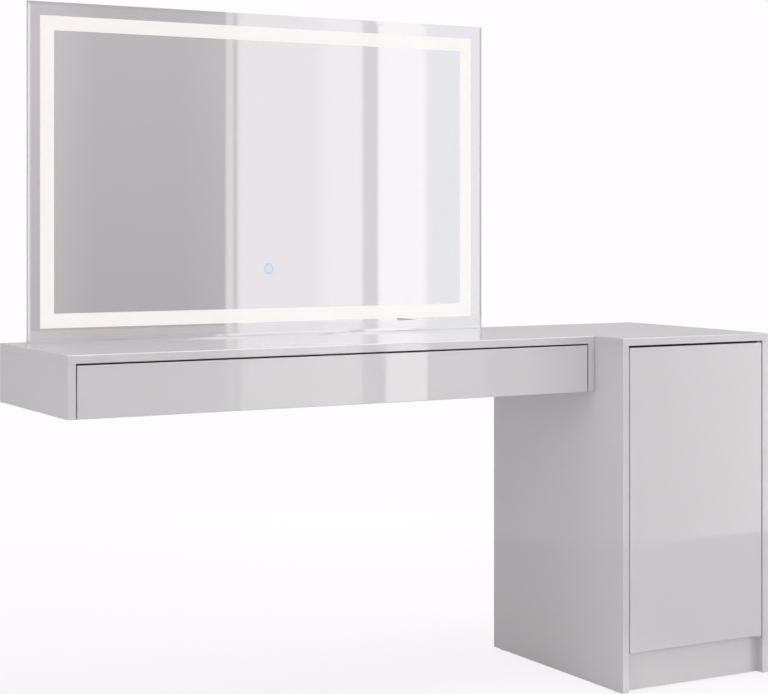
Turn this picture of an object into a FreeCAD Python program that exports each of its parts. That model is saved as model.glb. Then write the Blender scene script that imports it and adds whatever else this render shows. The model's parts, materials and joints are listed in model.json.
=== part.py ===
import FreeCAD, Part
import os

# Dressing table: a wall-fixed desk with one drawer, a floor-standing cabinet and a lit mirror.
# Sizes are in millimetres. X runs along the table to the right, Y runs back to the wall, Z is up.
# The origin is on the floor, under the middle of the table's outline.

# Desk and cabinet, outside
desk_length = 1200.0
desk_depth = 400.0
desk_box_height = 120.0
cabinet_width = 400.0
cabinet_depth = 500.0
table_height = 755.0

# Board thicknesses and the rounding of their edges
top_board = 16.0
side_board = 16.0
bottom_board = 16.0
rail_board = 16.0
shelf_board = 16.0
plinth_board = 16.0
front_board = 16.0
cabinet_back_board = 3.0
drawer_side_board = 12.0
drawer_back_board = 12.0
drawer_floor_board = 5.0
board_edge_radius = 0.3
top_edge_radius = 2.0
front_edge_radius = 1.5

# Gaps around the drawer front and the door, and between the desk's side and the cabinet
drawer_top_gap = 3.4
door_top_gap = 4.4
front_back_gap = 2.5
drawer_side_gap = 2.6
door_side_gap = 2.5
door_bottom_gap = 3.0
carcass_gap = 0.8

# Inside of the cabinet
cabinet_floor_height = 66.0
back_panel_setback = 12.0
groove_depth = 6.0
groove_end_room = 0.5
groove_side_room = 0.1
shelf_setback = 15.0
shelf_end_gap = 0.5
shelf_back_gap = 0.8
shelf_pin_radius = 2.5
shelf_pin_hole_depth = 10.0
shelf_pin_inset = 40.0
shelf_pin_tongue_length = 8.0
shelf_pin_tongue_width = 8.0
shelf_pin_tongue_height = 5.0
glide_height = 2.0
glide_radius = 7.0
glide_inset = 30.0
glide_nail_radius = 1.0
glide_nail_length = 12.0

# Fixings between boards
fit_clearance = 0.05
fixing_inset = 60.0
dowel_offset = 32.0
cam_radius = 7.5
cam_depth = 12.5
cam_edge_distance = 24.0
cam_channel_radius = 3.5
cam_slot_width = 2.0
cam_slot_depth = 1.5
cam_bolt_radius = 3.0
cam_thread_radius = 2.5
cam_thread_length = 11.0
dowel_radius = 4.0
dowel_face_depth = 10.0
dowel_edge_depth = 20.0
join_bolt_radius = 3.0
join_sleeve_radius = 4.0
join_sleeve_length = 24.0
join_head_radius = 6.5
join_head_height = 2.5
join_edge_distance = 13.0
join_front_inset = 110.0
join_back_inset = 150.0
screw_radius = 1.75
screw_length = 13.0
short_screw_length = 10.0
screw_head_radius = 3.5
screw_head_height = 1.5
screw_tip_room = 0.2

# Drawer box
drawer_rear_room = 48.0
drawer_ground_clearance = 8.0
drawer_side_height = 66.0
drawer_floor_lift = 8.0
drawer_groove_depth = 5.0
drawer_dowel_radius = 3.0
drawer_dowel_face_depth = 8.0
drawer_dowel_edge_depth = 20.0
drawer_dowel_inset = 12.0
drawer_floor_screw_span = 900.0

# Ball-bearing runners, three members each
runner_length = 300.0
runner_width = 12.7
runner_height = 35.0
runner_sheet = 1.2
runner_centre_lift = 33.0
runner_flange_reach = 10.5
runner_middle_web = 4.2
runner_inner_reach = 6.2
runner_screw_inset = 35.0
ball_radius = 1.6
ball_gap = 2.6
ball_clearance = 0.1
ball_row_reach = 8.0
ball_count = 6
ball_pitch = 24.0
cage_length = 140.0
cage_width = 4.0
cage_thickness = 0.6

# Door pivots
pivot_inset = 5.5
pivot_pin_radius = 2.0
pivot_pin_reach = 9.0
pivot_running_clearance = 0.05
pivot_plate = 2.2
pivot_plate_width = 9.0
pivot_plate_nose = 3.0
pivot_plate_tail = 32.0
pivot_screw_pitch = 16.0
pivot_screw_end_distance = 6.0
bush_radius = 3.5
bush_length = 10.0
bush_flange_radius = 5.0
bush_flange = 0.5

# Push latches of the door and the drawer
latch_plunger_radius = 4.0
latch_slide_clearance = 0.1
latch_barrel_radius = 7.0
latch_end_wall = 4.0
latch_foot = 5.5
latch_foot_length = 44.0
latch_foot_width = 16.0
latch_projection = 2.2
latch_tip_gap = 0.3
latch_plunger_hold = 18.0
latch_screw_span = 32.0
spring_coil_radius = 3.0
spring_wire_radius = 0.35
spring_turns = 6
strike_radius = 9.0
strike_plate = 1.0

# Lit mirror
mirror_width = 1100.0
mirror_height = 700.0
mirror_lift = 0.3
glass_thickness = 5.0
facet_width = 6.0
facet_depth = 1.2
silvering = 0.4
coat_clearance = 0.05
light_border = 28.0
light_band = 30.0
diffuser_overlap = 8.0
diffuser_thickness = 3.0
symbol_radius = 12.0
symbol_height = 145.0
frame_inset = 8.0
frame_width = 10.0
frame_depth = 13.5
frame_sheet = 1.5
cover_sheet = 1.0
strip_width = 10.0
strip_sheet = 1.2
chip_size = 5.0
chip_height = 1.6
chip_pitch = 60.0
driver_length = 160.0
driver_width = 36.0
driver_depth = 9.0
driver_offset = 250.0
driver_height = 90.0
sensor_size = 30.0
sensor_depth = 4.0
gland_offset = -250.0
gland_height = 105.0
gland_bore_radius = 3.6
gland_radius = 6.0
gland_flange_radius = 9.0
gland_flange = 2.0
gland_nut = 4.0
strap_span = 700.0
strap_width = 40.0
strap_thickness = 2.5
strap_recess = 5.0
strap_side_room = 0.5
strap_rise = 190.0
strap_end_height = 15.0
strap_screw_inset = 12.0
strap_screw_pitch = 45.0
strap_frame_screw_pitch = 20.0
machine_screw_radius = 2.0
machine_screw_length = 8.0
machine_head_radius = 3.5
machine_head_height = 1.8
cover_screw_room = 30.0
cover_screw_rise = 400.0

# Wall fixing holes in the desk's back rail
wall_hole_radius = 3.5
wall_hole_span = 900.0
wall_hole_rise = 40.0

# Directions
RIGHT = FreeCAD.Vector(1, 0, 0)
LEFT = FreeCAD.Vector(-1, 0, 0)
BACK = FreeCAD.Vector(0, 1, 0)
FRONT = FreeCAD.Vector(0, -1, 0)
UP = FreeCAD.Vector(0, 0, 1)
DOWN = FreeCAD.Vector(0, 0, -1)

# Planes of the two carcasses
left_end = -(desk_length + cabinet_width) / 2
meeting_plane = left_end + desk_length
right_end = meeting_plane + cabinet_width
wall_plane = cabinet_depth / 2
cabinet_front = wall_plane - cabinet_depth
desk_front = wall_plane - desk_depth
under_top = table_height - top_board
desk_low = table_height - desk_box_height
desk_floor = desk_low + bottom_board
desk_middle = left_end + desk_length / 2
desk_in_left = left_end + side_board
desk_out_right = meeting_plane - carcass_gap
desk_in_right = desk_out_right - side_board
desk_recess = desk_front + front_board + front_back_gap
rail_front = wall_plane - rail_board
cabinet_in_left = meeting_plane + side_board
cabinet_in_right = right_end - side_board
cabinet_recess = cabinet_front + front_board + front_back_gap
plinth_rear = cabinet_recess + plinth_board
cabinet_floor = cabinet_floor_height + bottom_board
back_panel_rear = wall_plane - back_panel_setback
back_panel_front = back_panel_rear - cabinet_back_board

# Planes of the drawer
drawer_front_rear = desk_front + front_board
drawer_rear = rail_front - drawer_rear_room
drawer_low = desk_floor + drawer_ground_clearance
drawer_high = drawer_low + drawer_side_height
drawer_floor_low = drawer_low + drawer_floor_lift
drawer_floor_high = drawer_floor_low + drawer_floor_board
drawer_left = desk_in_left + runner_width
drawer_right = desk_in_right - runner_width
drawer_in_left = drawer_left + drawer_side_board
drawer_in_right = drawer_right - drawer_side_board
runner_height_centre = drawer_low + runner_centre_lift

# Planes of the door and the line it turns about
door_left = cabinet_in_left + door_side_gap
door_right = cabinet_in_right - door_side_gap
door_rear = cabinet_front + front_board
door_low = cabinet_floor + door_bottom_gap
door_high = under_top - door_top_gap
pivot_x = door_right - pivot_inset
pivot_y = cabinet_front + pivot_inset

# Planes of the mirror, from its straps on the desk forward to its face
mirror_left = desk_middle - mirror_width / 2
mirror_right = desk_middle + mirror_width / 2
mirror_low = table_height + mirror_lift
mirror_high = mirror_low + mirror_height
cover_rear = wall_plane - strap_recess
cover_front = cover_rear - cover_sheet
silver_rear = cover_front - frame_depth
silver_front = silver_rear - silvering
glass_rear = silver_front - coat_clearance
mirror_front = glass_rear - glass_thickness

pieces = {}
holes = {}


def keep(name, *solids):
    """File solids under the name of their piece."""
    pieces.setdefault(name, []).extend(solids)


def open_up(names, tool):
    """Remember a hole or a groove that goes through each of the named pieces."""
    for name in names:
        holes.setdefault(name, []).append(tool)


def block(x_span, y_span, z_span):
    """A square-edged box between three pairs of planes."""
    corner = FreeCAD.Vector(x_span[0], y_span[0], z_span[0])
    return Part.makeBox(x_span[1] - x_span[0], y_span[1] - y_span[0], z_span[1] - z_span[0], corner)


def board(x_span, y_span, z_span, radius=board_edge_radius):
    """A board with its edges rounded."""
    box = block(x_span, y_span, z_span)
    return box.makeFillet(radius, box.Edges)


def edged_top(x_span, y_span):
    """A top board, with a thick edging rounded along the front of its upper face."""
    box = block(x_span, y_span, (under_top, table_height))
    front_edges = [edge for edge in box.Edges if edge.BoundBox.YMax < sum(y_span) / 2]
    upper = [edge for edge in front_edges if edge.BoundBox.ZMin > table_height - top_board / 2]
    edged = box.makeFillet(top_edge_radius, upper)
    rounded = [face for face in edged.Faces if face.Surface.TypeId == "Part::GeomCylinder"]
    smooth = [edge.hashCode() for face in rounded for edge in face.Edges]
    sharp = [edge for edge in edged.Edges if edge.hashCode() not in smooth]
    return edged.makeFillet(board_edge_radius, sharp)


def rod(start, direction, radius, length):
    """A round bar from a point along a direction."""
    return Part.makeCylinder(radius, length, start, direction)


def around(middle, width):
    """The pair of planes a given width apart, centred on a place."""
    return (middle - width / 2, middle + width / 2)


def cam_joint(holder, receiver, point, into_holder, cam_inward, holder_board):
    """A cam lock in one board that pulls on a bolt screwed into the other board's face."""
    cam_face = point + into_holder * cam_edge_distance - cam_inward * (holder_board / 2)
    channel = rod(point, into_holder, cam_channel_radius, cam_edge_distance + cam_bolt_radius)
    across = into_holder.cross(cam_inward)
    slot = rod(cam_face - across * cam_radius, across, cam_slot_width / 2, 2 * cam_radius)
    deeper_slot = slot.translated(cam_inward * (cam_slot_depth - cam_slot_width / 2))
    keep("cam_locks", rod(cam_face, cam_inward, cam_radius, cam_depth).cut([channel, slot, deeper_slot]))
    shank = rod(point, into_holder, cam_bolt_radius, cam_edge_distance)
    keep("cam_bolts", shank.fuse(rod(point, -into_holder, cam_thread_radius, cam_thread_length)))
    open_up([holder], rod(cam_face, cam_inward, cam_radius + fit_clearance, cam_depth + fit_clearance))
    open_up([holder], rod(point, into_holder, cam_channel_radius, cam_edge_distance))
    thread_hole = cam_thread_length + fit_clearance
    open_up([receiver], rod(point, -into_holder, cam_thread_radius + fit_clearance, thread_hole))


def dowel(name, face_board, edge_board, point, into_edge, radius, face_depth, edge_depth):
    """A wooden dowel, part in one board's face and part in the other board's edge."""
    start = point - into_edge * face_depth
    keep(name, rod(start, into_edge, radius, face_depth + edge_depth))
    hole_start = start - into_edge * fit_clearance
    hole_length = face_depth + edge_depth + 2 * fit_clearance
    open_up([face_board, edge_board], rod(hole_start, into_edge, radius + fit_clearance, hole_length))


def screw(name, seat, direction, through, sizes):
    """A flat-seated screw: its head stands on the seat and its shank goes into the pieces."""
    radius, length, head_radius, head_height = sizes
    head = rod(seat, -direction, head_radius, head_height)
    keep(name, rod(seat, direction, radius, length).fuse(head))
    open_up(through, rod(seat, direction, radius + fit_clearance, length + screw_tip_room))


WOOD_SCREW = (screw_radius, screw_length, screw_head_radius, screw_head_height)
SHORT_SCREW = (screw_radius, short_screw_length, screw_head_radius, screw_head_height)
MACHINE_SCREW = (machine_screw_radius, machine_screw_length, machine_head_radius, machine_head_height)


def sunk_screw(name, surface, direction, plate, through):
    """A short screw whose head is let in flush with a plate's surface."""
    open_up([plate], rod(surface, direction, screw_head_radius + fit_clearance, screw_head_height))
    screw(name, surface + direction * screw_head_height, direction, [plate] + through, SHORT_SCREW)


def desk_boards():
    """The desk's box: a top over two sides, a bottom and a back rail between them."""
    depth = (desk_front, wall_plane)
    side_rise = (desk_low, under_top)
    keep("desk_top", edged_top((left_end, meeting_plane), depth))
    keep("desk_left_side", board((left_end, desk_in_left), depth, side_rise))
    keep("desk_right_side", board((desk_in_right, desk_out_right), depth, side_rise))
    inside = (desk_in_left, desk_in_right)
    keep("desk_bottom", board(inside, (desk_recess, rail_front), (desk_low, desk_floor)))
    keep("desk_back_rail", board(inside, (rail_front, wall_plane), side_rise))


def cabinet_boards():
    """The cabinet's box, its plinth and the thin back panel in its grooves."""
    depth = (cabinet_front, wall_plane)
    side_rise = (glide_height, under_top)
    keep("cabinet_top", edged_top((meeting_plane, right_end), depth))
    keep("cabinet_left_side", board((meeting_plane, cabinet_in_left), depth, side_rise))
    keep("cabinet_right_side", board((cabinet_in_right, right_end), depth, side_rise))
    inside = (cabinet_in_left, cabinet_in_right)
    bottom_rise = (cabinet_floor_height, cabinet_floor)
    keep("cabinet_bottom", board(inside, (plinth_rear, back_panel_front), bottom_rise))
    plinth_depth = (cabinet_recess, plinth_rear)
    keep("cabinet_plinth", board(inside, plinth_depth, (glide_height, cabinet_floor)))
    tongue = groove_depth - groove_end_room
    panel_width = (cabinet_in_left - tongue, cabinet_in_right + tongue)
    panel_rise = (cabinet_floor_height, under_top + tongue)
    keep("cabinet_back", block(panel_width, (back_panel_front, back_panel_rear), panel_rise))
    groove_width = (cabinet_in_left - groove_depth, cabinet_in_right + groove_depth)
    groove_span = (back_panel_front - groove_side_room, back_panel_rear + groove_side_room)
    groove_rise = (cabinet_floor_height - groove_side_room, under_top + groove_depth)
    grooved = ["cabinet_left_side", "cabinet_right_side", "cabinet_top"]
    open_up(grooved, block(groove_width, groove_span, groove_rise))


def cabinet_shelves():
    """Two loose shelves that share out the cabinet's height, each on four pins."""
    names = ("lower_shelf", "upper_shelf")
    free_height = under_top - cabinet_floor - len(names) * shelf_board
    compartment = free_height / (len(names) + 1)
    width = (cabinet_in_left + shelf_end_gap, cabinet_in_right - shelf_end_gap)
    depth = (cabinet_recess + shelf_setback, back_panel_front - shelf_back_gap)
    low = cabinet_floor
    for name in names:
        low = low + compartment
        keep(name, board(width, depth, (low, low + shelf_board)))
        for y in (depth[0] + shelf_pin_inset, depth[1] - shelf_pin_inset):
            shelf_pin("cabinet_left_side", FreeCAD.Vector(cabinet_in_left, y, low), RIGHT)
            shelf_pin("cabinet_right_side", FreeCAD.Vector(cabinet_in_right, y, low), LEFT)
        low = low + shelf_board


def shelf_pin(side, point, inward):
    """A pin in a hole of the side, with a flat tongue that the shelf lies on."""
    stem_start = point - UP * (shelf_pin_tongue_height / 2) - inward * shelf_pin_hole_depth
    stem = rod(stem_start, inward, shelf_pin_radius, shelf_pin_hole_depth + shelf_pin_tongue_length)
    ends = sorted((point.x, point.x + inward.x * shelf_pin_tongue_length))
    tongue_rise = (point.z - shelf_pin_tongue_height, point.z)
    tongue = block(ends, around(point.y, shelf_pin_tongue_width), tongue_rise)
    keep("shelf_pins", stem.fuse(tongue))
    hole_start = stem_start - inward * fit_clearance
    hole_depth = shelf_pin_hole_depth + fit_clearance
    open_up([side], rod(hole_start, inward, shelf_pin_radius + fit_clearance, hole_depth))


def floor_glides():
    """Nailed glides under the cabinet's sides."""
    sides = {"cabinet_left_side": cabinet_in_left, "cabinet_right_side": right_end}
    for side, inner_face in sides.items():
        x = inner_face - side_board / 2
        for y in (cabinet_front + glide_inset, wall_plane - glide_inset):
            foot = FreeCAD.Vector(x, y, 0)
            nail_start = foot + UP * glide_height
            nail = rod(nail_start, UP, glide_nail_radius, glide_nail_length)
            keep("floor_glides", rod(foot, UP, glide_radius, glide_height).fuse(nail))
            hole_length = glide_nail_length + fit_clearance
            open_up([side], rod(nail_start, UP, glide_nail_radius + fit_clearance, hole_length))


def carcass_joints(prefix, front, inside, floor_low, bottom_depth):
    """Cam locks and dowels that hold a top and a bottom to two sides."""
    top, bottom = prefix + "_top", prefix + "_bottom"
    left_joint = (prefix + "_left_side", inside[0], RIGHT)
    right_joint = (prefix + "_right_side", inside[1], LEFT)
    for side, face, inward in (left_joint, right_joint):
        middle = face - inward.x * side_board / 2
        for y, dowel_y in fixing_pairs(front, wall_plane):
            cam_joint(side, top, FreeCAD.Vector(middle, y, under_top), DOWN, -inward, side_board)
            board_dowel(top, side, FreeCAD.Vector(middle, dowel_y, under_top), DOWN)
        height = floor_low + bottom_board / 2
        for y, dowel_y in fixing_pairs(*bottom_depth):
            cam_joint(bottom, side, FreeCAD.Vector(face, y, height), inward, UP, bottom_board)
            board_dowel(side, bottom, FreeCAD.Vector(face, dowel_y, height), inward)


def fixing_pairs(front, rear):
    """Where a cam lock and the dowel beside it lie, near a board's front and near its rear."""
    near = front + fixing_inset
    far = rear - fixing_inset
    return ((near, near + dowel_offset), (far, far - dowel_offset))


def board_dowel(face_board, edge_board, point, into_edge):
    """A carcass dowel."""
    sizes = (dowel_radius, dowel_face_depth, dowel_edge_depth)
    dowel("wood_dowels", face_board, edge_board, point, into_edge, *sizes)


def rail_and_plinth_joints():
    """Cam locks on the desk's back rail, and dowels on the rail and the plinth."""
    rail_middle = (desk_low + under_top) / 2
    rail_y = rail_front + rail_board / 2
    rail_sides = (("desk_left_side", desk_in_left, RIGHT), ("desk_right_side", desk_in_right, LEFT))
    for side, face, inward in rail_sides:
        rail_end = FreeCAD.Vector(face, rail_y, rail_middle)
        cam_joint("desk_back_rail", side, rail_end, inward, BACK, rail_board)
        board_dowel(side, "desk_back_rail", rail_end - UP * dowel_offset, inward)
    plinth_y = cabinet_recess + plinth_board / 2
    plinth_z = (glide_height + cabinet_floor_height) / 2
    floor_z = cabinet_floor - bottom_board / 2
    left_joint = ("cabinet_left_side", cabinet_in_left, RIGHT)
    right_joint = ("cabinet_right_side", cabinet_in_right, LEFT)
    for side, face, inward in (left_joint, right_joint):
        board_dowel(side, "cabinet_plinth", FreeCAD.Vector(face, plinth_y, plinth_z), inward)
        floor_edge = FreeCAD.Vector(face, plinth_rear, floor_z) + inward * fixing_inset
        board_dowel("cabinet_plinth", "cabinet_bottom", floor_edge, BACK)


def joining_bolts():
    """Sleeve bolts that clamp the desk's right side to the cabinet's left side."""
    walls = ["desk_right_side", "cabinet_left_side"]
    for y in (desk_front + join_front_inset, wall_plane - join_back_inset):
        for z in (desk_floor + join_edge_distance, under_top - join_edge_distance):
            desk_face = FreeCAD.Vector(desk_in_right, y, z)
            cabinet_face = FreeCAD.Vector(cabinet_in_left, y, z)
            grip = cabinet_in_left - desk_in_right
            bolt = rod(desk_face, RIGHT, join_bolt_radius, grip)
            keep("joining_bolts", bolt.fuse(rod(desk_face, LEFT, join_head_radius, join_head_height)))
            sleeve = rod(cabinet_face, LEFT, join_sleeve_radius, join_sleeve_length)
            sleeve = sleeve.fuse(rod(cabinet_face, RIGHT, join_head_radius, join_head_height))
            bolt_hole = rod(desk_face, RIGHT, join_bolt_radius + fit_clearance, grip)
            keep("joining_bolts", sleeve.cut(bolt_hole))
            open_up(walls, rod(desk_face, RIGHT, join_sleeve_radius + fit_clearance, grip))


def drawer_box():
    """The drawer: a lacquered front, two sides, a back and a floor let into grooves."""
    front_width = (desk_in_left + drawer_side_gap, desk_in_right - drawer_side_gap)
    front_depth = (desk_front, drawer_front_rear)
    front_rise = (desk_low, under_top - drawer_top_gap)
    keep("drawer_front", board(front_width, front_depth, front_rise, front_edge_radius))
    length = (drawer_front_rear, drawer_rear)
    rise = (drawer_low, drawer_high)
    keep("drawer_left_side", board((drawer_left, drawer_in_left), length, rise))
    keep("drawer_right_side", board((drawer_in_right, drawer_right), length, rise))
    back_length = (drawer_rear - drawer_back_board, drawer_rear)
    inside = (drawer_in_left, drawer_in_right)
    keep("drawer_back", board(inside, back_length, (drawer_floor_high, drawer_high)))
    tongue = drawer_groove_depth - groove_end_room
    floor_width = (drawer_in_left - tongue, drawer_in_right + tongue)
    floor_length = (drawer_front_rear - tongue, drawer_rear)
    keep("drawer_bottom", block(floor_width, floor_length, (drawer_floor_low, drawer_floor_high)))
    groove_width = (drawer_in_left - drawer_groove_depth, drawer_in_right + drawer_groove_depth)
    groove_length = (drawer_front_rear - drawer_groove_depth, drawer_rear)
    groove_rise = (drawer_floor_low - groove_side_room, drawer_floor_high + groove_side_room)
    grooved = ["drawer_front", "drawer_left_side", "drawer_right_side"]
    open_up(grooved, block(groove_width, groove_length, groove_rise))


def drawer_joints():
    """Dowels at the drawer's corners, and screws up through the floor into the back."""
    sizes = (drawer_dowel_radius, drawer_dowel_face_depth, drawer_dowel_edge_depth)
    heights = (drawer_floor_high + drawer_dowel_inset, drawer_high - drawer_dowel_inset)
    back_y = drawer_rear - drawer_back_board / 2
    corners = (("drawer_left_side", drawer_in_left, RIGHT), ("drawer_right_side", drawer_in_right, LEFT))
    for side, face, inward in corners:
        middle = face - inward.x * drawer_side_board / 2
        for z in heights:
            front_point = FreeCAD.Vector(middle, drawer_front_rear, z)
            dowel("drawer_dowels", "drawer_front", side, front_point, BACK, *sizes)
            dowel("drawer_dowels", side, "drawer_back", FreeCAD.Vector(face, back_y, z), inward, *sizes)
    for x in (desk_middle, *around(desk_middle, drawer_floor_screw_span)):
        seat = FreeCAD.Vector(x, back_y, drawer_floor_low)
        screw("drawer_screws", seat, UP, ["drawer_bottom", "drawer_back"], SHORT_SCREW)


def runner(side, wall, inward):
    """One telescopic runner, from the desk's side to the drawer's side."""
    length = (desk_recess, desk_recess + runner_length)
    outer_half = runner_height / 2
    middle_half = outer_half - runner_sheet - ball_gap
    inner_half = middle_half - runner_sheet - ball_gap

    def reach(start, end):
        return sorted((wall + inward.x * start, wall + inward.x * end))

    def channel(start, end, hollow_start, hollow_end, half_height):
        rise = around(runner_height_centre, 2 * half_height)
        hollow_rise = around(runner_height_centre, 2 * (half_height - runner_sheet))
        hollow = block(reach(hollow_start, hollow_end), length, hollow_rise)
        return block(reach(start, end), length, rise).cut(hollow)

    outer, middle, inner = side + "_runner_outer", side + "_runner_middle", side + "_runner_inner"
    keep(outer, channel(0, runner_flange_reach, runner_sheet, runner_flange_reach, outer_half))
    web, flange = runner_middle_web, runner_flange_reach
    keep(middle, channel(web, flange, web + runner_sheet, flange, middle_half))
    inner_hollow = runner_width - runner_sheet
    keep(inner, channel(runner_inner_reach, runner_width, runner_inner_reach, inner_hollow, inner_half))

    row_x = wall + inward.x * ball_row_reach
    outer_row = middle_half + ball_gap / 2
    inner_row = inner_half + ball_gap / 2
    for cage, members, row in (
        ("outer_ball_cages", [outer, middle], outer_row),
        ("inner_ball_cages", [middle, inner], inner_row),
    ):
        for z in (runner_height_centre - row, runner_height_centre + row):
            race_start = FreeCAD.Vector(row_x, length[0], z)
            open_up(members, rod(race_start, BACK, ball_radius + ball_clearance, runner_length))
            ball_cage(cage, FreeCAD.Vector(row_x, sum(length) / 2, z))

    for y in (length[0] + runner_screw_inset, sum(length) / 2, length[1] - runner_screw_inset):
        outer_seat = FreeCAD.Vector(wall + inward.x * runner_sheet, y, runner_height_centre)
        screw("carcass_screws", outer_seat, -inward, [outer, "desk_" + side + "_side"], WOOD_SCREW)
        inner_seat = FreeCAD.Vector(wall + inward.x * inner_hollow, y, runner_height_centre)
        screw("drawer_screws", inner_seat, inward, [inner, "drawer_" + side + "_side"], SHORT_SCREW)


def ball_cage(name, centre):
    """A strip that keeps a row of balls apart."""
    width = around(centre.x, cage_width)
    strip = block(width, around(centre.y, cage_length), around(centre.z, cage_thickness))
    first = centre.y - ball_pitch * (ball_count - 1) / 2
    places = [first + ball_pitch * index for index in range(ball_count)]
    seats = [FreeCAD.Vector(centre.x, y, centre.z) for y in places]
    keep(name, strip.cut([Part.makeSphere(ball_radius + ball_clearance, seat) for seat in seats]))
    keep(name, *[Part.makeSphere(ball_radius, seat) for seat in seats])


def door_and_pivots():
    """The door, turning on pins near its right edge; the upper pin's plate is let into the top."""
    door_depth = (cabinet_front, door_rear)
    door_rise = (door_low, door_high)
    keep("door_panel", board((door_left, door_right), door_depth, door_rise, front_edge_radius))
    nose = pivot_plate_nose
    upper_rise = (under_top, under_top + pivot_plate)
    upper_width = (pivot_x - pivot_plate_tail, pivot_x + nose)
    upper_depth = (pivot_y - nose, pivot_y - nose + pivot_plate_width)
    upper_plate = block(upper_width, upper_depth, upper_rise)
    plate_spans = (upper_width, upper_depth, upper_rise)
    pocket_spans = [(low - fit_clearance, high + fit_clearance) for low, high in plate_spans]
    open_up(["cabinet_top"], block(*pocket_spans))
    lower_rise = (cabinet_floor, cabinet_floor + pivot_plate)
    lower_depth = (pivot_y - nose, plinth_rear + pivot_plate_tail)
    lower_plate = block(around(pivot_x, pivot_plate_width), lower_depth, lower_rise)
    pivot(upper_plate, FreeCAD.Vector(pivot_x, pivot_y, door_high), DOWN, upper_rise[0])
    pivot(lower_plate, FreeCAD.Vector(pivot_x, pivot_y, door_low), UP, lower_rise[1])
    for step in (0, pivot_screw_pitch):
        upper_x = upper_width[0] + pivot_screw_end_distance + step
        upper_seat = FreeCAD.Vector(upper_x, sum(upper_depth) / 2, upper_rise[0])
        sunk_screw("carcass_screws", upper_seat, UP, "pivot_plates", ["cabinet_top"])
        lower_y = lower_depth[1] - pivot_screw_end_distance - step
        lower_seat = FreeCAD.Vector(pivot_x, lower_y, lower_rise[1])
        sunk_screw("carcass_screws", lower_seat, DOWN, "pivot_plates", ["cabinet_bottom"])


def pivot(plate, edge_point, into_door, plate_face):
    """A plate with a pin that turns in a flanged bush in the door's edge."""
    pin_start = FreeCAD.Vector(pivot_x, pivot_y, plate_face)
    pin_length = abs(edge_point.z - plate_face) + pivot_pin_reach
    keep("pivot_plates", plate.fuse(rod(pin_start, into_door, pivot_pin_radius, pin_length)))
    bush = rod(edge_point, into_door, bush_radius, bush_length)
    bush = bush.fuse(rod(edge_point, -into_door, bush_flange_radius, bush_flange))
    bore_radius = pivot_pin_radius + pivot_running_clearance
    bore_start = edge_point - into_door * bush_flange
    keep("pivot_bushes", bush.cut(rod(bore_start, into_door, bore_radius, bush_flange + bush_length)))
    seat_length = bush_length + fit_clearance
    open_up(["door_panel"], rod(edge_point, into_door, bush_radius + fit_clearance, seat_length))


def push_latch(name, tip):
    """A barrel with a sprung plunger that points forwards; the barrel's foot is added by its caller."""
    barrel_length = drawer_rear_room - latch_foot - latch_projection - latch_tip_gap
    barrel_start = tip + BACK * latch_projection
    bore_depth = barrel_length - latch_end_wall
    bore = rod(barrel_start, BACK, latch_plunger_radius + latch_slide_clearance, bore_depth)
    barrel = rod(barrel_start, BACK, latch_barrel_radius, barrel_length)
    keep(name + "_plunger", rod(tip, BACK, latch_plunger_radius, latch_projection + latch_plunger_hold))
    spring_room = bore_depth - latch_plunger_hold
    spring_start = barrel_start + BACK * (latch_plunger_hold + spring_wire_radius)
    keep(name + "_spring", coil_spring(spring_start, spring_room - 2 * spring_wire_radius))
    return barrel, bore, barrel_start + BACK * barrel_length


def coil_spring(start, height):
    """A round-wire compression spring that runs back from its start."""
    helix = Part.Wire(Part.makeHelix(height / spring_turns, height, spring_coil_radius).Edges)
    wire_start = FreeCAD.Vector(spring_coil_radius, 0, 0)
    section = Part.Wire(Part.makeCircle(spring_wire_radius, wire_start, BACK))
    spring = helix.makePipeShell([section], True, True)
    spring.rotate(FreeCAD.Vector(0, 0, 0), RIGHT, -90)
    spring.translate(start)
    return spring


def door_latch():
    """The door's latch on the cabinet's left side, and the strike plate that it meets."""
    height = (door_low + door_high) / 2
    axis_x = cabinet_in_left + latch_barrel_radius + latch_foot
    strike = FreeCAD.Vector(axis_x, door_rear, height)
    keep("door_strike_plate", rod(strike, BACK, strike_radius, strike_plate))
    tip = strike + BACK * (strike_plate + latch_tip_gap)
    barrel, bore, end = push_latch("door_latch", tip)
    foot_length = (end.y - latch_foot_width, end.y)
    foot_reach = (cabinet_in_left, cabinet_in_left + latch_foot)
    foot = block(foot_reach, foot_length, around(height, latch_foot_length))
    saddle = block((cabinet_in_left, axis_x), foot_length, around(height, latch_barrel_radius))
    keep("door_latch_housing", barrel.fuse([foot, saddle]).cut(bore))
    for z in around(height, latch_screw_span):
        seat = FreeCAD.Vector(cabinet_in_left + latch_foot, end.y - latch_foot_width / 2, z)
        screw("carcass_screws", seat, LEFT, ["door_latch_housing", "cabinet_left_side"], WOOD_SCREW)


def drawer_latch():
    """The drawer's latch on the back rail, pointing at the middle of the drawer's back."""
    tip = FreeCAD.Vector(desk_middle, drawer_rear + latch_tip_gap, runner_height_centre)
    barrel, bore, end = push_latch("drawer_latch", tip)
    foot_rise = around(runner_height_centre, latch_foot_width)
    foot = block(around(desk_middle, latch_foot_length), (end.y, rail_front), foot_rise)
    keep("drawer_latch_housing", barrel.fuse(foot).cut(bore))
    for x in around(desk_middle, latch_screw_span):
        seat = FreeCAD.Vector(x, end.y, runner_height_centre)
        screw("carcass_screws", seat, BACK, ["drawer_latch_housing", "desk_back_rail"], WOOD_SCREW)


def mirror_sheet(inset, y_span):
    """A flat sheet parallel to the mirror, a given distance inside its outline."""
    width = (mirror_left + inset, mirror_right - inset)
    return block(width, y_span, (mirror_low + inset, mirror_high - inset))


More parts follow.
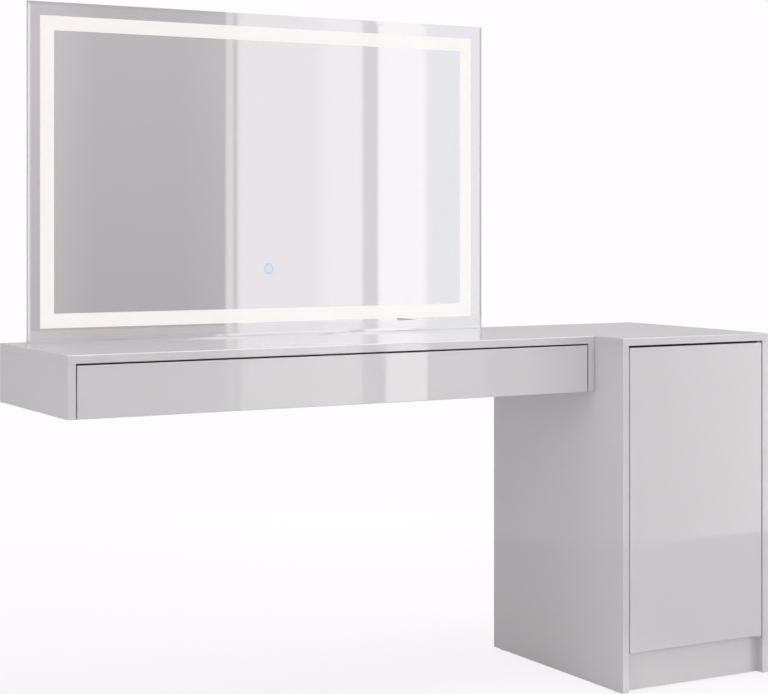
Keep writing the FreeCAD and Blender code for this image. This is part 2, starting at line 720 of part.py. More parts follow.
def mirror_glass():
    """The glass, with a ground facet round its face, and the silvering with its clear band."""
    body = mirror_sheet(0, (mirror_front + facet_depth, glass_rear))
    face = mirror_sheet(facet_width, (mirror_front, mirror_front + facet_depth))
    near_wire = face.Faces[face_towards(face, FRONT)].OuterWire
    far_wire = body.Faces[face_towards(body, FRONT)].OuterWire
    keep("mirror_glass", body.fuse(Part.makeLoft([near_wire, far_wire], True, True)).removeSplitter())
    layer = (silver_front, silver_rear)
    clear_inset = light_border + light_band
    border = mirror_sheet(0, layer).cut(mirror_sheet(light_border, layer))
    symbol = FreeCAD.Vector(desk_middle, silver_front, table_height + symbol_height)
    keep("mirror_silvering", border)
    window = rod(symbol, BACK, symbol_radius + fit_clearance, silvering)
    keep("mirror_silvering", mirror_sheet(clear_inset, layer).cut(window))
    keep("touch_symbol", rod(symbol, BACK, symbol_radius, silvering))
    sensor_depths = (silver_rear, silver_rear + sensor_depth)
    sensor_rise = around(symbol.z, sensor_size)
    keep("touch_sensor", block(around(desk_middle, sensor_size), sensor_depths, sensor_rise))


def face_towards(solid, direction):
    """The number of the face that looks along a direction."""
    matches = [face.normalAt(0, 0).dot(direction) for face in solid.Faces]
    return matches.index(max(matches))


def mirror_lights():
    """The frosted diffuser behind the clear band, and the light strips behind the diffuser."""
    layer = (silver_rear, silver_rear + diffuser_thickness)
    outer_inset = light_border - diffuser_overlap
    inner_inset = light_border + light_band + diffuser_overlap
    keep("light_diffuser", mirror_sheet(outer_inset, layer).cut(mirror_sheet(inner_inset, layer)))
    line = light_border + light_band / 2
    across = (mirror_left + line + strip_width, mirror_right - line - strip_width)
    upright = (mirror_low + line - strip_width / 2, mirror_high - line + strip_width / 2)
    sheet = (cover_front - strip_sheet, cover_front)
    chips = (sheet[0] - chip_height, sheet[0])
    for z in (mirror_low + line, mirror_high - line):
        keep("led_strips", block(across, sheet, around(z, strip_width)))
        for x in spread(across):
            keep("led_strips", block(around(x, chip_size), chips, around(z, chip_size)))
    for x in (mirror_left + line, mirror_right - line):
        keep("led_strips", block(around(x, strip_width), sheet, upright))
        for z in spread(upright):
            keep("led_strips", block(around(x, chip_size), chips, around(z, chip_size)))


def spread(span):
    """Places one chip pitch apart along a strip, centred on it."""
    count = int((span[1] - span[0] - chip_size) // chip_pitch) + 1
    first = sum(span) / 2 - chip_pitch * (count - 1) / 2
    return [first + chip_pitch * index for index in range(count)]


def mirror_frame():
    """Four channel rails behind the glass, closed by a cover sheet."""
    depth = (silver_rear, cover_front)
    hollow_depth = (depth[0] + frame_sheet, depth[1] - frame_sheet)
    width = (mirror_left + frame_inset, mirror_right - frame_inset)
    rise = (mirror_low + frame_inset, mirror_high - frame_inset)
    hollow_width = (width[0] + frame_sheet, width[1] - frame_sheet)
    hollow_rise = (rise[0] + frame_sheet, rise[1] - frame_sheet)
    bottom = block(width, depth, (rise[0], rise[0] + frame_width))
    keep("mirror_frame_bottom", bottom.cut(block(hollow_width, hollow_depth, hollow_rise)))
    top = block(width, depth, (rise[1] - frame_width, rise[1]))
    keep("mirror_frame_top", top.cut(block(hollow_width, hollow_depth, hollow_rise)))
    between = (rise[0] + frame_width, rise[1] - frame_width)
    left = block((width[0], width[0] + frame_width), depth, between)
    keep("mirror_frame_left", left.cut(block(hollow_width, hollow_depth, between)))
    right = block((width[1] - frame_width, width[1]), depth, between)
    keep("mirror_frame_right", right.cut(block(hollow_width, hollow_depth, between)))
    keep("mirror_back_cover", block(width, (cover_front, cover_rear), rise))
    seat_inset = frame_inset + (frame_width + frame_sheet) / 2
    middle_height = (mirror_low + mirror_high) / 2
    places = []
    cover_screw_span = strap_span + strap_width + 2 * cover_screw_room
    for x in (desk_middle, *around(desk_middle, cover_screw_span)):
        places.append(("mirror_frame_bottom", x, mirror_low + seat_inset))
        places.append(("mirror_frame_top", x, mirror_high - seat_inset))
    for z in around(middle_height, cover_screw_rise):
        places.append(("mirror_frame_left", mirror_left + seat_inset, z))
        places.append(("mirror_frame_right", mirror_right - seat_inset, z))
    for rail, x, z in places:
        seat = FreeCAD.Vector(x, cover_rear, z)
        screw("mirror_screws", seat, FRONT, ["mirror_back_cover", rail], MACHINE_SCREW)


def mirror_supply():
    """The light driver on the cover, and the gland that the supply lead goes through."""
    driver_depths = (cover_front - driver_depth, cover_front)
    driver_width_span = around(desk_middle + driver_offset, driver_length)
    driver_rise = around(table_height + driver_height, driver_width)
    keep("led_driver", block(driver_width_span, driver_depths, driver_rise))
    centre = FreeCAD.Vector(desk_middle + gland_offset, cover_rear, table_height + gland_height)
    inner_end = centre + FRONT * (cover_sheet + gland_nut)
    length = gland_nut + cover_sheet + gland_flange
    nut = rod(inner_end, BACK, gland_flange_radius, gland_nut)
    neck = rod(inner_end, BACK, gland_radius, length)
    flange = rod(centre, BACK, gland_flange_radius, gland_flange)
    keep("cable_gland", nut.fuse([neck, flange]).cut(rod(inner_end, BACK, gland_bore_radius, length)))
    open_up(["mirror_back_cover"], rod(inner_end, BACK, gland_radius + fit_clearance, length))


def mirror_straps():
    """Two flat straps that carry the mirror on the desk's back rail."""
    depth = (cover_rear, cover_rear + strap_thickness)
    rise = (desk_low + strap_end_height, table_height + strap_rise)
    rail_z = mirror_low + frame_inset + (frame_width + frame_sheet) / 2
    for x in around(desk_middle, strap_span):
        keep("mirror_straps", block(around(x, strap_width), depth, rise))
        pocket_width = around(x, strap_width + 2 * strap_side_room)
        open_up(["desk_back_rail"], block(pocket_width, (cover_rear, wall_plane), (desk_low, under_top)))
        open_up(["desk_top"], block(pocket_width, (cover_rear, wall_plane), (under_top, table_height)))
        for step in (0, strap_screw_pitch):
            low_seat = FreeCAD.Vector(x, depth[1], rise[0] + strap_screw_inset + step)
            screw("carcass_screws", low_seat, FRONT, ["mirror_straps", "desk_back_rail"], WOOD_SCREW)
        for screw_x in around(x, strap_frame_screw_pitch):
            seat = FreeCAD.Vector(screw_x, depth[1], rail_z)
            held = ["mirror_straps", "mirror_back_cover", "mirror_frame_bottom"]
            screw("mirror_screws", seat, FRONT, held, MACHINE_SCREW)


def wall_holes():
    """Four holes through the back rail for the screws that carry the desk on the wall."""
    for x in around(desk_middle, wall_hole_span):
        for z in around((desk_low + under_top) / 2, wall_hole_rise):
            start = FreeCAD.Vector(x, rail_front, z)
            open_up(["desk_back_rail"], rod(start, BACK, wall_hole_radius, rail_board))


def write_parts():
    """Cut the holes and write one file for each named piece."""
    os.makedirs("parts", exist_ok=True)
    for name, solids in pieces.items():
        tools = holes.get(name)
        if tools:
            solids = [solid.cut(tools) for solid in solids]
        finished = [solid for shape in solids for solid in shape.Solids]
        shape = finished[0] if len(finished) == 1 else Part.makeCompound(finished)
        shape.exportStep("parts/" + name + ".step")


desk_boards()
cabinet_boards()
cabinet_shelves()
floor_glides()
carcass_joints("desk", desk_front, (desk_in_left, desk_in_right), desk_low, (desk_recess, rail_front))
cabinet_inside = (cabinet_in_left, cabinet_in_right)
cabinet_bottom_depth = (plinth_rear, back_panel_front)
carcass_joints("cabinet", cabinet_front, cabinet_inside, cabinet_floor_height, cabinet_bottom_depth)
rail_and_plinth_joints()
joining_bolts()
drawer_box()
drawer_joints()
runner("left", desk_in_left, RIGHT)
runner("right", desk_in_right, LEFT)
door_and_pivots()
door_latch()
drawer_latch()
mirror_glass()
mirror_lights()
mirror_frame()
mirror_supply()
mirror_straps()
wall_holes()
write_parts()
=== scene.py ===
import json
import math

import bpy
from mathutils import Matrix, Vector


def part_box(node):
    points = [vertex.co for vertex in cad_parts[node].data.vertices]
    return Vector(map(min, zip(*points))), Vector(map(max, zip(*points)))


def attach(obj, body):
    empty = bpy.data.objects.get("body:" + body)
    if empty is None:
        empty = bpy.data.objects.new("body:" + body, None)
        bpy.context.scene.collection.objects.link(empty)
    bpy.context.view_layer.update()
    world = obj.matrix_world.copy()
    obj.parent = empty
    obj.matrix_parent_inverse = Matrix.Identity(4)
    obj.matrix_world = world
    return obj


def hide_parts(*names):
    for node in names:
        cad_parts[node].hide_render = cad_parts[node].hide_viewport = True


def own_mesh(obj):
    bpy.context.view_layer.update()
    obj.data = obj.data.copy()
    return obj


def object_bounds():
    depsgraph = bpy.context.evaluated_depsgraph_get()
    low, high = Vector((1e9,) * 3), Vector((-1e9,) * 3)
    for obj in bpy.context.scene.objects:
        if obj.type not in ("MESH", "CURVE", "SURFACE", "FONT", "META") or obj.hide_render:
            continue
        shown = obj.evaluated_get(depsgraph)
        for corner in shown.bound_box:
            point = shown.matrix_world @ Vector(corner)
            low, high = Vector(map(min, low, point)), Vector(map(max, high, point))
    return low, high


# Handleless dressing table in high-gloss pale grey lacquer, with a lit mirror.
# Units are metres. X runs along the table to the right, Y from its front to its back, Z up.

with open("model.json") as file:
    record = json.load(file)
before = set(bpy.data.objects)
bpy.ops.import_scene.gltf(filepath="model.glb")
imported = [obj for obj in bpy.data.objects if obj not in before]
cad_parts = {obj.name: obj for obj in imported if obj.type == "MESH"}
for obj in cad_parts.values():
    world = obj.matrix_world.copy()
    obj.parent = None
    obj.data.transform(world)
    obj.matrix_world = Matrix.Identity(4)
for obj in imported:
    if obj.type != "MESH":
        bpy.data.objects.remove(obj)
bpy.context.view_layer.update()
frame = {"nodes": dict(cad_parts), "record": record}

MM = 0.001

# The photograph's camera: level, turned to the right of the table's own front-to-back line
image_width = 768
image_height = 694
eye_point_px = (361.0, 219.98)
eye_place = Vector((-1.9891, -3.4223, 1.0064))
eye_turn = math.radians(28.95)
lens_mm = 87.0
sensor_mm = 36.0

# The studio's surround, which only the gloss and the mirror see. A direction in it has a turn, in
# degrees to the right of straight ahead of the table, and a rise: 0 is level and 1 is straight up.
# In front stand upright grey panels, a soft row at eye level and above, and a bright row below it.
# Each has the turn where it starts, its colour, and the degrees over which its edge fades in.
panels_start = 15.0
panels_end = 45.0
crisp = 0.08
upper_panels = (
    (panels_start, "#bdb9bb", crisp),
    (20.20, "#b4b0b2", 1.2),
    (24.00, "#b9b5b7", 1.2),
    (24.78, "#d8d5d5", crisp),
    (25.00, "#c6c2c4", crisp),
    (25.17, "#e5e2e5", crisp),
    (27.75, "#ebe8eb", 0.5),
    (28.98, "#d4d0d3", crisp),
    (29.50, "#f5f2f5", crisp),
    (30.95, "#e3e4e8", crisp),
)
lower_panels = (
    (panels_start, "#5f5f5f", crisp),
    (24.79, "#949494", crisp),
    (25.06, "#666666", crisp),
    (25.28, "#c0c0c0", crisp),
    (27.60, "#d0d0d0", 1.0),
    (28.98, "#808080", crisp),
    (29.74, "#ffffff", crisp),
    (31.00, "#858585", crisp),
    (32.75, "#4a4a4a", crisp),
    (35.00, "#626262", crisp),
    (39.50, "#a4a4a4", 3.0),
)
upper_level = 1.22
lower_level = 4.3
rows_meet = (-0.068, -0.061)

# Left of this turn, the upper row grows brighter upwards: each pair is a rise and a share of its level
shaded_end = 24.74
shading = ((-0.04, 0.94), (0.09, 1.06))

# The grey behind the table, and the white overhead with the rise where it fades in
rear_grey = "#b6b2b6"
studio_white = "#fffdff"
overhead_level = 1.2
overhead_starts = (0.6, 0.75)

# The surround's ground: dark, with one pale strip across the front. The strip's near and far edges
# fade between two rises. The ground's far edge is given as two pairs of a turn and a rise.
front_ground = "#2a2a2a"
pale_strip = "#bcbcbc"
rear_ground = "#4e4e4e"
strip_near_edge = (-0.27, -0.25)
strip_far_edge = (-0.24, -0.215)
ground_edge = ((38.0, -0.1694), (42.0, -0.1596))
ground_edge_fade = 0.0015

# The white that the camera sees behind the table
backdrop_level = 1.0

# Soft light: an even glow from all round, and large lamps with their place, watts and size
even_light = 0.46
lamps = {
    "left_light": (Vector((-3.4, -1.7, 1.4)), 35.5, 2.4),
    "right_light": (Vector((3.2, -2.4, 0.45)), 31.0, 1.4),
    "front_light": (Vector((0.6, -3.0, 0.1)), 10.4, 0.5),
    "top_light": (Vector((0.3, -0.25, 2.9)), 54.0, 1.6),
    "back_light": (Vector((1.4, 2.9, 0.35)), 45.0, 0.8),
}

# The floor under the table: its shadows grow fainter outwards, until it is as white as the backdrop
floor_grey = "#ecebec"
floor_radius = 14.0
floor_sides = 96
floor_drop = 0.2 * MM
floor_whiteness = (0.84, 1.0)
floor_fade = (1.2, 2.6)

# The mirror's touch symbol, and how far round it the silver carries a painted blue glow from its light
symbol_low, symbol_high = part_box("touch_symbol")
symbol_centre = (symbol_low + symbol_high) / 2
symbol_radius = (symbol_high.x - symbol_low.x) / 2
painted_glow_radius = 26 * MM

# The push latches' coil springs
spring_turns = 6
spring_wire_radius = 0.35 * MM
points_per_turn = 32

# A Mix node's colour sockets, by number, because other sockets of the node have the same names
mix_first = 6
mix_second = 7
mix_colour = 2


def linear(hex_colour):
    """An sRGB hex colour as linear red, green, blue and a full alpha."""
    parts = [int(hex_colour[i:i + 2], 16) / 255 for i in (1, 3, 5)]
    return [p / 12.92 if p <= 0.04045 else ((p + 0.055) / 1.055) ** 2.4 for p in parts] + [1.0]


def per_metre(size_mm):
    """The texture scale at which one feature of a pattern has a size in millimetres."""
    return 1 / (size_mm * MM)


def fill(tree, node, values=None, links=None):
    """Set a node's own socket values, and link its other sockets to what varies."""
    for socket, value in (values or {}).items():
        node.inputs[socket].default_value = value
    for socket, source in (links or {}).items():
        tree.links.new(source, node.inputs[socket])


def add(tree, kind, values=None, links=None, **settings):
    """Add a node with its settings, its socket values and the links into it."""
    node = tree.nodes.new("ShaderNode" + kind)
    for name, value in settings.items():
        setattr(node, name, value)
    fill(tree, node, values, links)
    return node


def new_material(name):
    """A new material: its node tree, its shader and the place on the object in metres."""
    material = bpy.data.materials.new(name)
    material.use_nodes = True
    tree = material.node_tree
    place = add(tree, "TexCoord").outputs["Object"]
    return material, tree, tree.nodes["Principled BSDF"], place


def mottle(tree, place, colours, size_mm, detail, roughness=0.5, span=(0.0, 1.0)):
    """Clouds of a real size that run from one colour to another: the colour and the clouds."""
    noise = {"Scale": per_metre(size_mm), "Detail": detail, "Roughness": roughness}
    clouds = add(tree, "TexNoise", noise, {"Vector": place}).outputs["Fac"]
    ramp = add(tree, "ValToRGB", links={"Fac": clouds})
    for stop, hex_colour, position in zip(ramp.color_ramp.elements, colours, span):
        stop.color = linear(hex_colour)
        stop.position = position
    return ramp.outputs["Color"], clouds


def relief(tree, place, size_mm, depth_mm, strength, detail=2.0):
    """Fine bumps of a real size: the surface normal and the bumps' height."""
    noise = {"Scale": per_metre(size_mm), "Detail": detail}
    height = add(tree, "TexNoise", noise, {"Vector": place}).outputs["Fac"]
    depth = {"Strength": strength, "Distance": depth_mm * MM}
    return add(tree, "Bump", depth, {"Height": height}).outputs["Normal"], height


def gloss_lacquer():
    """Sprayed and polished polyester lacquer on fibreboard: a clear mirror-like skin over a pale
    grey ground with a breath of lilac, and a faint orange peel that softens reflected edges."""
    material, tree, shader, place = new_material("gloss_lacquer")
    tone, _ = mottle(tree, place, ("#cbc8ca", "#cfccce"), size_mm=260, detail=2.0)
    peel, _ = relief(tree, place, size_mm=2.6, depth_mm=0.05, strength=0.004, detail=1.0)
    body = {"Roughness": 0.32, "IOR": 1.5}
    skin = {"Coat Weight": 1.0, "Coat Roughness": 0.01, "Coat IOR": 1.55}
    fill(tree, shader, body | skin, {"Base Color": tone, "Coat Normal": peel})
    return material


def satin_melamine():
    """Melamine paper pressed on chipboard between pearl-textured plates: even pale grey with a
    dull sheen and fine raised pearls."""
    material, tree, shader, place = new_material("satin_melamine")
    tone, _ = mottle(tree, place, ("#cdc9cb", "#d4d0d2"), size_mm=3.0, detail=3.0)
    pearls, _ = relief(tree, place, size_mm=0.9, depth_mm=0.05, strength=0.25)
    fill(tree, shader, {"Roughness": 0.42, "IOR": 1.5}, {"Base Color": tone, "Normal": pearls})
    return material


def thin_fibreboard():
    """Wet-pressed hardboard: pale foil on the face that is seen, raw brown fibre on its back and
    edges, with a woven screen's print in the raw side."""
    material, tree, shader, place = new_material("thin_fibreboard")
    axes = add(tree, "SeparateXYZ", links={"Vector": add(tree, "NewGeometry").outputs["Normal"]})
    forward = add(tree, "Math", {1: -1.0}, {0: axes.outputs["Y"]}, operation="MULTIPLY")
    faces = {0: forward.outputs[0], 1: axes.outputs["Z"]}
    front_or_top = add(tree, "Math", links=faces, operation="MAXIMUM")
    foil = add(tree, "Math", {1: 0.5}, {0: front_or_top.outputs[0]}, operation="GREATER_THAN").outputs[0]
    brown, fibre = mottle(
        tree, place, ("#866546", "#9f7d56"), size_mm=2.0, detail=6.0, roughness=0.6, span=(0.3, 0.7)
    )
    tone = add(
        tree, "Mix", {mix_second: linear("#c9c7c6")}, {"Factor": foil, mix_first: brown}, data_type="RGBA"
    )
    rough = add(tree, "MapRange", {"To Min": 0.85, "To Max": 0.5}, {"Value": foil})
    print_relief = add(tree, "Bump", {"Strength": 0.3, "Distance": 0.1 * MM}, {"Height": fibre})
    fill(tree, shader, links={
        "Base Color": tone.outputs[mix_colour],
        "Roughness": rough.outputs["Result"],
        "Normal": print_relief.outputs["Normal"],
    })
    return material


def beech():
    """Plain beech: pinkish straw with short darker flecks along the grain."""
    material, tree, shader, place = new_material("beech")
    drawn_out = add(tree, "Mapping", {"Scale": (1.0, 0.15, 0.15)}, {"Vector": place}).outputs["Vector"]
    tone, _ = mottle(tree, drawn_out, ("#b58a5c", "#d6b184"), size_mm=0.8, detail=5.0)
    fill(tree, shader, {"Roughness": 0.6}, {"Base Color": tone})
    return material


def cast_zinc():
    """Die-cast zinc: dull grey metal with the soft, cloudy skin of the mould."""
    material, tree, shader, place = new_material("cast_zinc")
    tone, clouds = mottle(tree, place, ("#8f9296", "#b4b6b9"), size_mm=2.0, detail=4.0)
    skin = add(tree, "Bump", {"Strength": 0.3, "Distance": 0.05 * MM}, {"Height": clouds})
    metal = {"Metallic": 1.0, "Roughness": 0.45}
    fill(tree, shader, metal, {"Base Color": tone, "Normal": skin.outputs["Normal"]})
    return material


def plated_steel():
    """Bright zinc plating on rolled steel: cool silver with fine rolling lines along the strip
    and a slightly cloudy sheen."""
    material, tree, shader, place = new_material("plated_steel")
    tone, _ = mottle(tree, place, ("#b3b7bd", "#cfd0d2"), size_mm=9.0, detail=2.0)
    drawn_out = add(tree, "Mapping", {"Scale": (1.0, 0.02, 1.0)}, {"Vector": place}).outputs["Vector"]
    lines = add(tree, "TexNoise", {"Scale": per_metre(0.6), "Detail": 3.0}, {"Vector": drawn_out})
    rough = add(tree, "MapRange", {"To Min": 0.22, "To Max": 0.38}, {"Value": lines.outputs["Fac"]})
    fill(tree, shader, {"Metallic": 1.0}, {"Base Color": tone, "Roughness": rough.outputs["Result"]})
    return material


def moulded(name, hex_colour, roughness, spread=0.06):
    """A moulded plastic or a baked paint: one even colour with a fine grain, which also makes its
    sheen vary a little."""
    material, tree, shader, place = new_material(name)
    skin, grain = relief(tree, place, size_mm=0.5, depth_mm=0.03, strength=0.2)
    range_of_sheen = {"To Min": roughness - spread, "To Max": roughness + spread}
    rough = add(tree, "MapRange", range_of_sheen, {"Value": grain})
    patterns = {"Normal": skin, "Roughness": rough.outputs["Result"]}
    fill(tree, shader, {"Base Color": linear(hex_colour)}, patterns)
    return material


def float_glass():
    """Clear float glass with polished edges: colourless face on, a breath of green in its depth."""
    material, tree, shader, _ = new_material("float_glass")
    clear = {"Base Color": linear("#fcfefd"), "Transmission Weight": 1.0, "Roughness": 0.0, "IOR": 1.52}
    fill(tree, shader, clear)
    return material


def symbol_distance(tree, place):
    """How far a point of the mirror is from the middle of the touch symbol, seen from the front."""
    offset = add(tree, "VectorMath", {1: symbol_centre}, {0: place}, operation="SUBTRACT")
    flat = add(tree, "VectorMath", {1: (1.0, 0.0, 1.0)}, {0: offset.outputs[0]}, operation="MULTIPLY")
    return add(tree, "VectorMath", links={0: flat.outputs[0]}, operation="LENGTH").outputs["Value"]


def silver_coat():
    """Silver laid on the glass: a clean mirror, with a painted blue glow round the lit touch symbol."""
    material, tree, shader, place = new_material("silver_coat")
    # Painted glow: the silver's colour turns bluer towards the touch symbol, as if lit by it
    fading = {"From Min": symbol_radius, "From Max": painted_glow_radius, "To Min": 1.0, "To Max": 0.0}
    distance = {"Value": symbol_distance(tree, place)}
    glow = add(tree, "MapRange", fading, distance, interpolation_type="SMOOTHSTEP").outputs["Result"]
    painted_glow_tints = {mix_first: linear("#f3eef1"), mix_second: linear("#ecf0f8")}
    tone = add(tree, "Mix", painted_glow_tints, {"Factor": glow}, data_type="RGBA").outputs[mix_colour]
    fill(tree, shader, {"Metallic": 1.0, "Roughness": 0.0}, {"Base Color": tone})
    return material


def touch_light():
    """The lit touch symbol: a pale blue disc with a darker ring round it and a bright middle."""
    material, tree, shader, place = new_material("touch_light")
    radius = {"From Min": 0.0, "From Max": symbol_radius}
    outward = add(tree, "MapRange", radius, {"Value": symbol_distance(tree, place)})
    ramp = add(tree, "ValToRGB", links={"Fac": outward.outputs["Result"]})
    stops = ramp.color_ramp.elements
    stops[0].color = linear("#e2f0fa")
    stops[1].color = linear("#d2e0ec")
    rings = ((0.28, "#d6e8f4"), (0.62, "#dcebf6"), (0.78, "#cbd5e2"), (0.94, "#cbd5e2"))
    for share_of_radius, hex_colour in rings:
        stop = stops.new(share_of_radius)
        stop.color = linear(hex_colour)
    tone = ramp.outputs["Color"]
    lit = {"Emission Strength": 0.55, "Roughness": 0.3}
    fill(tree, shader, lit, {"Emission Color": tone, "Base Color": tone})
    return material


def lit_opal():
    """Opal acrylic lit from behind: a warm white glow, almost even, with faint brighter patches."""
    material, tree, shader, place = new_material("lit_opal")
    tone, _ = mottle(tree, place, ("#f9f3f1", "#fcf6f4"), size_mm=60, detail=1.0)
    lit = {"Base Color": linear("#9c9a98"), "Emission Strength": 0.88, "Roughness": 0.6}
    fill(tree, shader, lit, {"Emission Color": tone})
    return material


def anodised_aluminium():
    """Extruded aluminium, etched and anodised: silky silver with fine drawn lines."""
    material, tree, shader, place = new_material("anodised_aluminium")
    drawn_out = add(tree, "Mapping", {"Scale": (0.03, 1.0, 0.03)}, {"Vector": place}).outputs["Vector"]
    lines = add(tree, "TexNoise", {"Scale": per_metre(0.4), "Detail": 2.0}, {"Vector": drawn_out})
    rough = add(tree, "MapRange", {"To Min": 0.34, "To Max": 0.46}, {"Value": lines.outputs["Fac"]})
    metal = {"Base Color": linear("#d3d4d5"), "Metallic": 1.0}
    fill(tree, shader, metal, {"Roughness": rough.outputs["Result"]})
    return material


def coated_sheet():
    """Powder-coated steel sheet: mid grey with the fine orange-skin texture of the powder."""
    material, tree, shader, place = new_material("coated_sheet")
    powder, _ = relief(tree, place, size_mm=1.1, depth_mm=0.06, strength=0.35)
    fill(tree, shader, {"Base Color": linear("#b9b9ba"), "Roughness": 0.5}, {"Normal": powder})
    return material


def make_finishes():
    """Every finish, under the name of its material slot."""
    return {
        "lacquer": gloss_lacquer(),
        "melamine": satin_melamine(),
        "fibreboard": thin_fibreboard(),
        "beech": beech(),
        "zinc": cast_zinc(),
        "steel": plated_steel(),
        "painted_steel": moulded("painted_steel", "#cdc9cc", roughness=0.3),
        "nylon": moulded("white_nylon", "#e3e2de", roughness=0.5),
        "latch_plastic": moulded("grey_acetal", "#9d9d9f", roughness=0.42),
        "clear_glass": float_glass(),
        "silvering": silver_coat(),
        "opal_acrylic": lit_opal(),
        "blue_light": touch_light(),
        "aluminium": anodised_aluminium(),
        "coated_sheet": coated_sheet(),
        "circuit_board": moulded("solder_mask", "#e8e7e2", roughness=0.35),
        "driver_case": moulded("white_abs", "#e0dfdb", roughness=0.45),
    }


def dress(finishes):
    """Give every piece the finish that its material slot names."""
    for entry in frame["record"]["subparts"]:
        mesh = frame["nodes"][entry["node"]].data
        mesh.materials.clear()
        mesh.materials.append(finishes[entry["material_slot"]])


def wind_spring(latch, steel):
    """A push latch's coil spring of bright wire, wound at full length in place of the latch's spring
    piece; it does not shorten when the plunger goes in."""
    low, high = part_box(latch + "_spring")
    middle = (low + high) / 2
    coil_radius = (high.x - low.x) / 2 - spring_wire_radius
    start = low.y + spring_wire_radius
    run = high.y - spring_wire_radius - start
    line = bpy.data.curves.new(latch + "_coil", "CURVE")
    line.dimensions = "3D"
    line.bevel_depth = spring_wire_radius
    line.use_fill_caps = True
    wire = line.splines.new("POLY")
    steps = spring_turns * points_per_turn
    wire.points.add(steps)
    for step, point in enumerate(wire.points):
        angle = math.tau * step / points_per_turn
        across = middle.x + coil_radius * math.cos(angle)
        upward = middle.z + coil_radius * math.sin(angle)
        point.co = (across, start + run * step / steps, upward, 1.0)
    route = bpy.data.objects.new(latch + "_route", line)
    mesh = bpy.data.meshes.new_from_object(route)
    bpy.data.objects.remove(route)
    spring = bpy.data.objects.new(latch + "_coil", mesh)
    bpy.context.scene.collection.objects.link(spring)
    mesh.shade_smooth()
    mesh.materials.clear()
    mesh.materials.append(steel)
    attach(spring, "table")
    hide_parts(latch + "_spring")
    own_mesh(spring)


def set_camera():
    """The photograph's camera."""
    camera = bpy.data.objects.new("camera", bpy.data.cameras.new("camera"))
    bpy.context.scene.collection.objects.link(camera)
    camera.location = eye_place
    camera.rotation_euler = (math.radians(90), 0, -eye_turn)
    camera.data.sensor_width = sensor_mm
    camera.data.lens = lens_mm
    camera.data.shift_x = (image_width / 2 - eye_point_px[0]) / image_width
    camera.data.shift_y = (eye_point_px[1] - image_height / 2) / image_width
    bpy.context.scene.camera = camera


def panel_colours(tree, turn, panels):
    """A row of upright panels with soft edges, as one colour for each turn."""
    limits = {"From Min": math.radians(panels_start), "From Max": math.radians(panels_end)}
    along = add(tree, "MapRange", limits, {"Value": turn})
    ramp = add(tree, "ValToRGB", links={"Fac": along.outputs["Result"]})
    stops = ramp.color_ramp.elements
    stops[0].color = linear(panels[0][1])
    stops[1].color = linear(panels[-1][1])
    for (_, before, _), (start, after, fade) in zip(panels, panels[1:]):
        for edge, hex_colour in ((-fade / 2, before), (fade / 2, after)):
            stop = stops.new((start + edge - panels_start) / (panels_end - panels_start))
            stop.color = linear(hex_colour)
    return ramp.outputs["Color"]


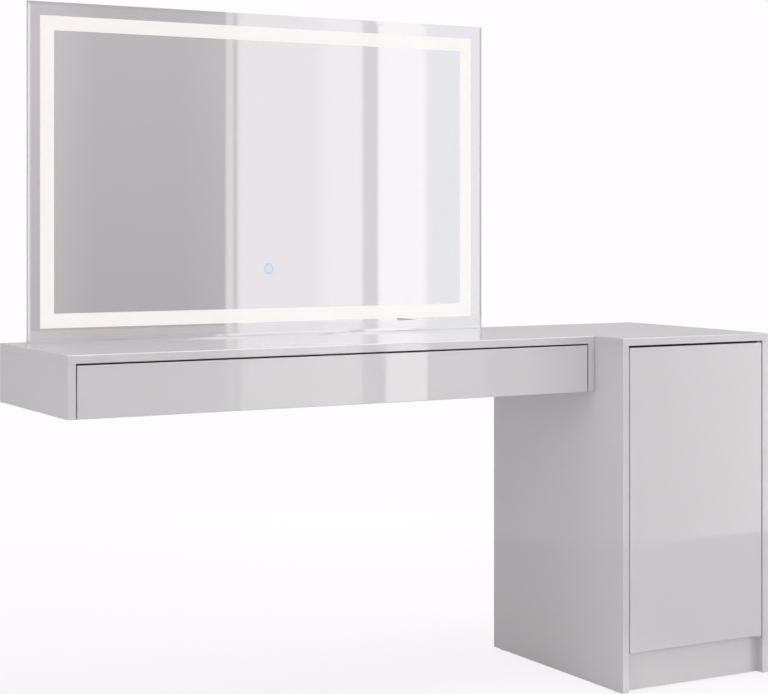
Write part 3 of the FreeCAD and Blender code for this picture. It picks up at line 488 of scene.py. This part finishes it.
def set_surround():
    """White behind the table, and the grey surround that its gloss and its mirror see."""
    world = bpy.data.worlds.new("studio")
    bpy.context.scene.world = world
    world.use_nodes = True
    tree = world.node_tree
    tree.nodes.clear()
    axes = add(tree, "SeparateXYZ", links={"Vector": add(tree, "TexCoord").outputs["Generated"]})
    rise = axes.outputs["Z"]
    ahead = add(tree, "Math", {1: -1.0}, {0: axes.outputs["Y"]}, operation="MULTIPLY").outputs[0]
    turn = add(tree, "Math", links={0: axes.outputs["X"], 1: ahead}, operation="ARCTAN2").outputs[0]

    (edge_turn, edge_rise), (edge_end_turn, edge_end_rise) = ground_edge
    edge_line = {
        "From Min": math.radians(edge_turn), "From Max": math.radians(edge_end_turn),
        "To Min": edge_rise, "To Max": edge_end_rise,
    }
    edge = add(tree, "MapRange", edge_line, {"Value": turn}).outputs["Result"]
    above_edge = add(tree, "Math", links={0: rise, 1: edge}, operation="SUBTRACT").outputs[0]

    # Shares from 0 to 1: which half of the surround, which kind of ray, and the soft edges
    path = add(tree, "LightPath").outputs
    share = {
        "in_front": add(tree, "Math", {1: 0.0}, {0: ahead}, operation="GREATER_THAN").outputs[0],
        "in_gloss": path["Is Glossy Ray"],
        "through_glass": path["Is Transmission Ray"],
        "to_camera": path["Is Camera Ray"],
    }
    soft_edges = {
        "past_near_edge": (rise, strip_near_edge),
        "past_far_edge": (rise, strip_far_edge),
        "past_ground": (above_edge, (-ground_edge_fade / 2, ground_edge_fade / 2)),
        "past_lower_row": (rise, rows_meet),
        "overhead": (rise, overhead_starts),
    }
    for name, (source, (start, end)) in soft_edges.items():
        edge_range = {"From Min": start, "From Max": end}
        share[name] = add(tree, "MapRange", edge_range, {"Value": source}).outputs["Result"]

    plain = {
        "rear_grey": (rear_grey, upper_level),
        "front_ground": (front_ground, lower_level),
        "pale_strip": (pale_strip, lower_level),
        "rear_ground": (rear_ground, lower_level),
        "overhead_white": (studio_white, overhead_level),
        "even_light": (studio_white, even_light),
        "backdrop": (studio_white, backdrop_level),
    }
    shown = {}
    for name, (hex_colour, level) in plain.items():
        shown[name] = add(tree, "Background", {"Color": linear(hex_colour), "Strength": level})
    lower_colours = panel_colours(tree, turn, lower_panels)
    shown["lower_panels"] = add(tree, "Background", {"Strength": lower_level}, {"Color": lower_colours})
    (shade_rise, shade_share), (shade_end_rise, shade_end_share) = shading
    shade_range = {
        "From Min": shade_rise, "From Max": shade_end_rise,
        "To Min": upper_level * shade_share, "To Max": upper_level * shade_end_share,
    }
    shade = add(tree, "MapRange", shade_range, {"Value": rise}).outputs["Result"]
    end_of_shade = {1: math.radians(shaded_end)}
    shaded = add(tree, "Math", end_of_shade, {0: turn}, operation="LESS_THAN").outputs[0]
    level = add(tree, "Mix", {"A": upper_level}, {"Factor": shaded, "B": shade}).outputs["Result"]
    upper_colours = panel_colours(tree, turn, upper_panels)
    upper_links = {"Color": upper_colours, "Strength": level}
    shown["upper_panels"] = add(tree, "Background", links=upper_links)

    # Each row is a name, its share, and what is shown at a share of 0 and at a share of 1
    layers = (
        ("upper_row", "in_front", "rear_grey", "upper_panels"),
        ("lower_row", "in_front", "rear_grey", "lower_panels"),
        ("near_ground", "past_near_edge", "front_ground", "pale_strip"),
        ("striped_ground", "past_far_edge", "near_ground", "front_ground"),
        ("ground", "in_front", "rear_ground", "striped_ground"),
        ("low_surround", "past_ground", "ground", "lower_row"),
        ("side_surround", "past_lower_row", "low_surround", "upper_row"),
        ("surround", "overhead", "side_surround", "overhead_white"),
        ("light", "in_gloss", "even_light", "surround"),
        ("light_and_glass", "through_glass", "light", "upper_row"),
        ("whole", "to_camera", "light_and_glass", "backdrop"),
    )
    for name, share_name, at_none, at_full in layers:
        pair = {0: share[share_name], 1: shown[at_none].outputs[0], 2: shown[at_full].outputs[0]}
        shown[name] = add(tree, "MixShader", links=pair)
    add(tree, "OutputWorld", links={"Surface": shown["whole"].outputs[0]})


def soft_lamp(name, place, watts, size):
    """A large soft light turned to the table's middle; the gloss and the glass don't show it."""
    light = bpy.data.lights.new(name, "AREA")
    light.energy = watts
    light.size = size
    lamp = bpy.data.objects.new(name, light)
    bpy.context.scene.collection.objects.link(lamp)
    lamp.location = place
    low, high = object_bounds()
    lamp.rotation_euler = ((low + high) / 2 - place).to_track_quat("-Z", "Y").to_euler()
    lamp.visible_glossy = False
    lamp.visible_transmission = False
    lamp.visible_camera = False


def set_floor():
    """A pale floor that runs into the white behind it and keeps a soft shadow."""
    bpy.ops.mesh.primitive_circle_add(vertices=floor_sides, radius=floor_radius, fill_type="NGON")
    floor = bpy.context.active_object
    floor.name = "floor"
    floor.location.z = -floor_drop
    floor.visible_glossy = False
    floor.visible_transmission = False
    material, tree, _, place = new_material("pale_floor")
    matt = add(tree, "BsdfDiffuse", {"Color": linear(floor_grey)})
    glow = add(tree, "Emission", {"Color": linear(studio_white)})
    away = add(tree, "VectorMath", links={0: place}, operation="LENGTH").outputs["Value"]
    fading = {
        "From Min": floor_fade[0], "From Max": floor_fade[1],
        "To Min": floor_whiteness[0], "To Max": floor_whiteness[1],
    }
    whiteness = add(tree, "MapRange", fading, {"Value": away}).outputs["Result"]
    camera_ray = add(tree, "LightPath").outputs["Is Camera Ray"]
    share = add(tree, "Math", links={0: whiteness, 1: camera_ray}, operation="MULTIPLY").outputs[0]
    surface = add(tree, "MixShader", links={0: share, 1: matt.outputs[0], 2: glow.outputs[0]})
    fill(tree, tree.nodes["Material Output"], links={"Surface": surface.outputs[0]})
    floor.data.materials.append(material)


bpy.context.scene.view_settings.view_transform = "Standard"
set_camera()
set_surround()
for lamp_name, (lamp_place, lamp_watts, lamp_size) in lamps.items():
    soft_lamp(lamp_name, lamp_place, lamp_watts, lamp_size)
set_floor()
finishes = make_finishes()
dress(finishes)
for latch_name in ("door_latch", "drawer_latch"):
    wind_spring(latch_name, finishes["steel"])
